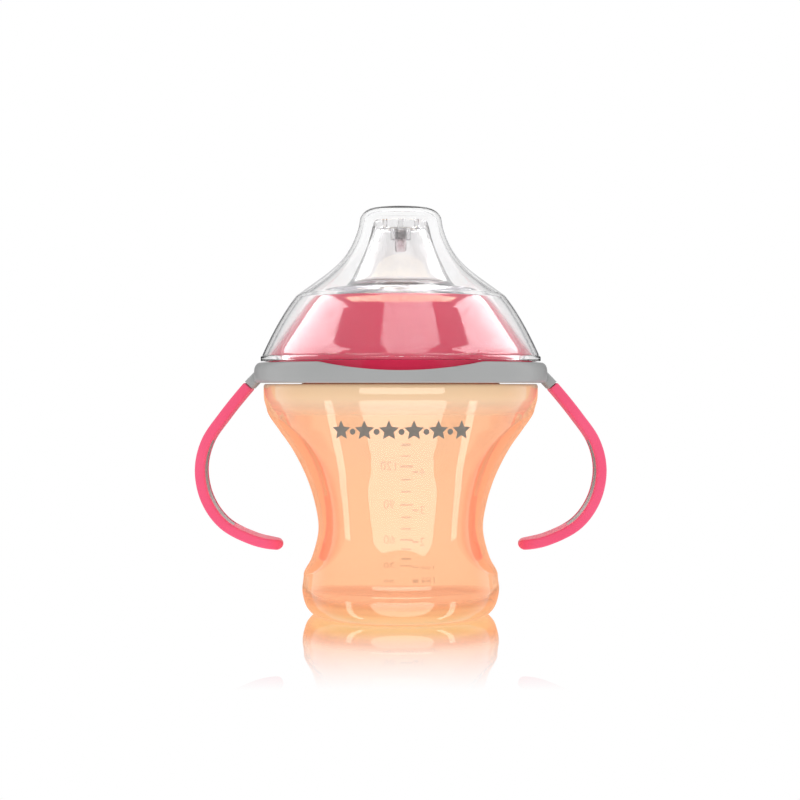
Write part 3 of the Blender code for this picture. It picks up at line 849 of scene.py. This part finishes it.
def make_hood(place, material):
    outer = bezier(HOOD_CONE, 24) + bezier(HOOD_THROAT, 32)[1:]
    crown = arc((7.6, HOOD_TOP - 4.2), 4.2, 18, 90, 10)
    inner_crown = [(0.0, HOOD_TOP - HOOD_WALL)] + arc((7.6, HOOD_TOP - 4.2), 3.0, 90, 14, 8)
    inner = offset_inward(outer, HOOD_WALL)[:-1]
    bead = [(38.5, HOOD_RIM + 0.9), (38.7, HOOD_RIM)]
    lip = [(39.6, HOOD_RIM), (39.75, HOOD_RIM + 0.08), (HOOD_RADIUS, HOOD_RIM + 0.25),
           (HOOD_RADIUS, HOOD_RIM + LIP_THICKNESS - 0.25), (39.75, HOOD_RIM + LIP_THICKNESS - 0.08),
           (39.6, HOOD_RIM + LIP_THICKNESS)]

    def lipped(radius, angle, height):
        x = radius * math.cos(angle)
        if radius > 39.5 and height < HOOD_RIM + LIP_THICKNESS + 0.01 and math.sin(angle) < 0:
            across = min(abs(x) / LIP_HALF_WIDTH, 1.0)
            return radius + LIP_REACH * (1 - across ** 5), height
        return radius, height

    outline = inner_crown + inner[::-1] + bead + lip + outer + crown + [(0.0, HOOD_TOP)]
    verts, faces = turned(outline, even_angles(160), lipped)
    hood = add_object("clear_hood", verts, faces, place, material, 30)
    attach(hood, "hood")
    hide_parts("hood")


# ---------------------------------------------------------------- studio

def studio_material(name):
    """An empty material and the graph of its nodes."""
    material = bpy.data.materials.new(name)
    material.use_nodes = True
    material.node_tree.nodes.clear()
    return material, Graph(material.node_tree)


def emitting(name, strength, through, colour):
    """Light that shows only in glossy surfaces and that every other ray passes, so neither the floor's
    sharp mirror nor any matt surface sees it; with through it shows only behind the clear hood."""
    material, graph = studio_material(name)
    path = graph.node("ShaderNodeLightPath").outputs
    unscattered = graph.maths("LESS_THAN", path["Diffuse Depth"], 0.5)
    reflected = path["Is Reflection Ray"]
    if through:
        reflected = graph.maths("GREATER_THAN", path["Transmission Depth"], 2.5)
    off_floor = graph.maths("SUBTRACT", 1.0, path["Is Singular Ray"])
    seen = graph.maths("MULTIPLY", graph.maths("MULTIPLY", unscattered, reflected), off_floor)
    clear = graph.node("ShaderNodeBsdfTransparent").outputs["BSDF"]
    glow = graph.node("ShaderNodeEmission", Strength=strength, Color=(*colour, 1.0)).outputs["Emission"]
    graph.blend_shaders(seen, clear, glow)
    return material


def make_world():
    """A white room. In the glossy surfaces, but not in the floor, its camera side looks dimmer."""
    world = bpy.data.worlds.new("studio")
    bpy.context.scene.world = world
    world.use_nodes = True
    graph = Graph(world.node_tree)
    background = graph.tree.nodes["Background"].inputs
    background["Color"].default_value = (1.0, 1.0, 1.0, 1.0)
    path = graph.node("ShaderNodeLightPath").outputs
    direction = graph.split(graph.node("ShaderNodeTexCoord").outputs["Generated"])
    depth = graph.ranged(direction["Y"], ROOM_BEHIND_CAMERA, 1.0, 0.0, 0.6, smooth=True)
    below = graph.ranged(direction["Z"], 0.0, 1.0, -0.75, -0.95)
    mirrored = graph.maths("MULTIPLY", path["Is Reflection Ray"], path["Is Glossy Ray"])
    off_floor = graph.maths("SUBTRACT", 1.0, path["Is Singular Ray"])
    plain = graph.maths("SUBTRACT", 1.0, graph.maths("MULTIPLY", mirrored, off_floor))
    strength = graph.maths("MAXIMUM", plain, graph.maths("MAXIMUM", below, depth))
    graph.link(strength, background["Strength"])


def studio_mesh(name, verts, faces, material):
    mesh = bpy.data.meshes.new(name)
    mesh.from_pydata(verts, [], faces)
    mesh.materials.append(material)
    item = bpy.data.objects.new(name, mesh)
    bpy.context.scene.collection.objects.link(item)
    return item


def make_floor():
    """A pale floor that mirrors the cup round its foot and fades to plain white in front."""
    material, graph = studio_material("pale_floor")
    place = graph.split(graph.node("ShaderNodeTexCoord").outputs["Object"])
    front = graph.ranged(place["Y"], 0.0, 1.0, -0.116, -0.034)
    far = graph.ranged(place["Y"], 0.0, 1.0, 0.09, 0.05)
    beside = graph.ranged(graph.maths("ABSOLUTE", place["X"]), 0.0, 1.0, 0.072, 0.062)
    near = graph.maths("MINIMUM", front, graph.maths("MINIMUM", beside, far))
    path = graph.node("ShaderNodeLightPath").outputs
    seen = graph.maths("MULTIPLY", graph.maths("POWER", near, 1.15), path["Is Camera Ray"])
    white = graph.node("ShaderNodeEmission", Color=(1.0, 1.0, 1.0, 1.0)).outputs["Emission"]
    mirror = graph.node("ShaderNodeBsdfGlossy", Color=(1.0, 1.0, 1.0, 1.0), Roughness=0.0)
    graph.blend_shaders(seen, white, mirror.outputs["BSDF"])
    floor = studio_mesh("floor", [(-2, -2, 0), (2, -2, 0), (2, 2, 0), (-2, 2, 0)], [(0, 1, 2, 3)], material)
    floor.visible_glossy = False
    floor.visible_shadow = False


def show_only_in(card, lit):
    """Hides a card from everything but the reflections in the pieces of lit."""
    card.visible_camera = False
    card.visible_diffuse = False
    card.visible_shadow = False
    card.light_linking.receiver_collection = lit


def lit_group(name, pieces):
    """The pieces that a card's light is linked to."""
    group = bpy.data.collections.new(name)
    for piece in pieces:
        group.objects.link(bpy.data.objects[piece])
    return group


def add_card(name, centre, width, height, target, strength, lit, corner, through=False, taper=1.0, lean=0.0):
    """A rounded glowing card that faces the target; taper narrows its lower end and lean bends it."""
    corner = min(corner * min(width, height), min(width, height) * 0.49)
    rim = []
    for sx, sy, first in ((1, 1, 0), (-1, 1, 90), (-1, -1, 180), (1, -1, 270)):
        for k in range(9):
            angle = math.radians(first + 90 * k / 8)
            x = sx * (width / 2 - corner) + corner * math.cos(angle)
            y = sy * (height / 2 - corner) + corner * math.sin(angle)
            low = 0.5 - y / height
            rim.append((x * (1 - (1 - taper) * low) + lean * low * low, y, 0.0))
    glow = emitting(name, strength, through, CARD_WHITE)
    card = studio_mesh(name, rim, [tuple(range(len(rim)))], glow)
    card.location = centre
    card.rotation_mode = "QUATERNION"
    card.rotation_quaternion = (Vector(target) - Vector(centre)).to_track_quat("Z", "Y")
    show_only_in(card, lit)


def add_band(name, strength, lit, through):
    """A curved cream card overhead that shows in the rim at the top of the cap."""
    verts = []
    for i in range(25):
        x = -0.30 + 0.025 * i
        front = -0.140 + 1.9 * x * x
        verts += [(x, front, 0.55), (x, front + 0.13, 0.55)]
    faces = [(2 * i, 2 * i + 2, 2 * i + 3, 2 * i + 1) for i in range(24)]
    band = studio_mesh(name, verts, faces, emitting(name, strength, through, BAND_CREAM))
    show_only_in(band, lit)


def add_warm_wall(name, left, right, low, high, lit):
    """An orange wall behind the cup that shows only in its edges."""
    y = WARM_WALL_PLACE
    corners = [(left, y, low), (right, y, low), (right, y, high), (left, y, high)]
    wall = studio_mesh(name, corners, [(0, 1, 2, 3)], emitting(name, 0.95, False, WALL_ORANGE))
    show_only_in(wall, lit)


def make_studio():
    make_world()
    make_floor()
    cup = lit_group("lit_from_below", ["cup_shell"])
    add_card("brow_strip", (0.02, -0.7, 0.048), 0.95, 0.07, (0.02, 0.0, 0.048), 4.0, cup, 0.49)
    add_card("front_softbox", (0.03, -0.55, -0.44), 1.02, 0.62, (0.03, 0, -0.44), 3.6, cup, 0.49,
             taper=0.62)
    for side in (-1, 1):
        x = side * math.sin(math.radians(63)) * 0.6
        y = -math.cos(math.radians(63)) * 0.6
        add_card(f"strip_{side}", (x, y, -0.53), 0.10, 0.74, (0, 0, -0.2), 4.0, cup, 0.1,
                 lean=-0.16 * side)
    add_warm_wall("warm_wall", -0.7, 0.7, -0.6, 0.045, cup)
    add_warm_wall("warm_wall_left", -0.7, -0.16, 0.045, 0.5, cup)
    add_warm_wall("warm_wall_right", 0.16, 0.7, 0.045, 0.5, cup)
    cap = lit_group("lit_from_above", ["collar_cap"])
    hood = lit_group("lit_through_hood", ["clear_hood"])
    add_card("lip_strip", (0.0, -0.8, 0.085), 0.9, 0.09, (0.0, 0.0, 0.085), 25.0, hood, 0.1)
    for lit, word, through in ((cap, "open", False), (hood, "hooded", True)):
        add_band(f"warm_band_{word}", 8.0, lit, through)
        add_card(f"top_softbox_{word}", (0.05, -0.17, OVERHEAD), 0.31, 0.62, (0.05, -0.17, 0), 4.5, lit,
                 0.05, through)
        add_card(f"zenith_softbox_{word}", (0.03, 0.36, OVERHEAD), 0.34, 0.40, (0.03, 0.36, 0), 8.0, lit,
                 0.1, through)
        for side in (-1, 1):
            x = side * 0.71
            add_card(f"side_softbox_{word}_{side}", (x, 0.25, OVERHEAD), 0.70, 1.0, (x, 0.25, 0), 6.0,
                     lit, 0.02, through)


def make_camera():
    data = bpy.data.cameras.new("camera")
    data.lens = CAMERA_LENS
    data.sensor_width = 36.0
    data.dof.use_dof = False
    camera = bpy.data.objects.new("camera", data)
    bpy.context.scene.collection.objects.link(camera)
    camera.location = CAMERA_PLACE
    camera.rotation_euler = (math.radians(90 - CAMERA_DIP), 0.0, 0.0)
    bpy.context.scene.camera = camera


def main():
    orange, grey, soft = orange_plastic(), grey_plastic(), pink_soft()
    cup_place = placer("cup", SHOULDER_RADIUS, NECK_TOP)
    make_cup(cup_place, orange)
    make_prints(cup_place)
    ring_place = placer("handle_ring", RING_RADIUS, RING_TOP, "y")
    make_ring(ring_place, grey)
    make_grips(ring_place, soft)
    make_cap(placer("screw_cap", SKIRT_RADIUS + 0.05, CAP_TOP), pink_gloss())
    make_spout(placer("spout", FLANGE_RADIUS, SPOUT_TOP), clear_silicone())
    make_valve(placer("spout_valve", VALVE_RADIUS, VALVE_TOP), valve_silicone())
    make_hood(placer("hood", HOOD_RADIUS, HOOD_TOP), clear_plastic())
    make_studio()
    make_camera()
    bpy.context.scene.view_settings.view_transform = "Standard"


main()
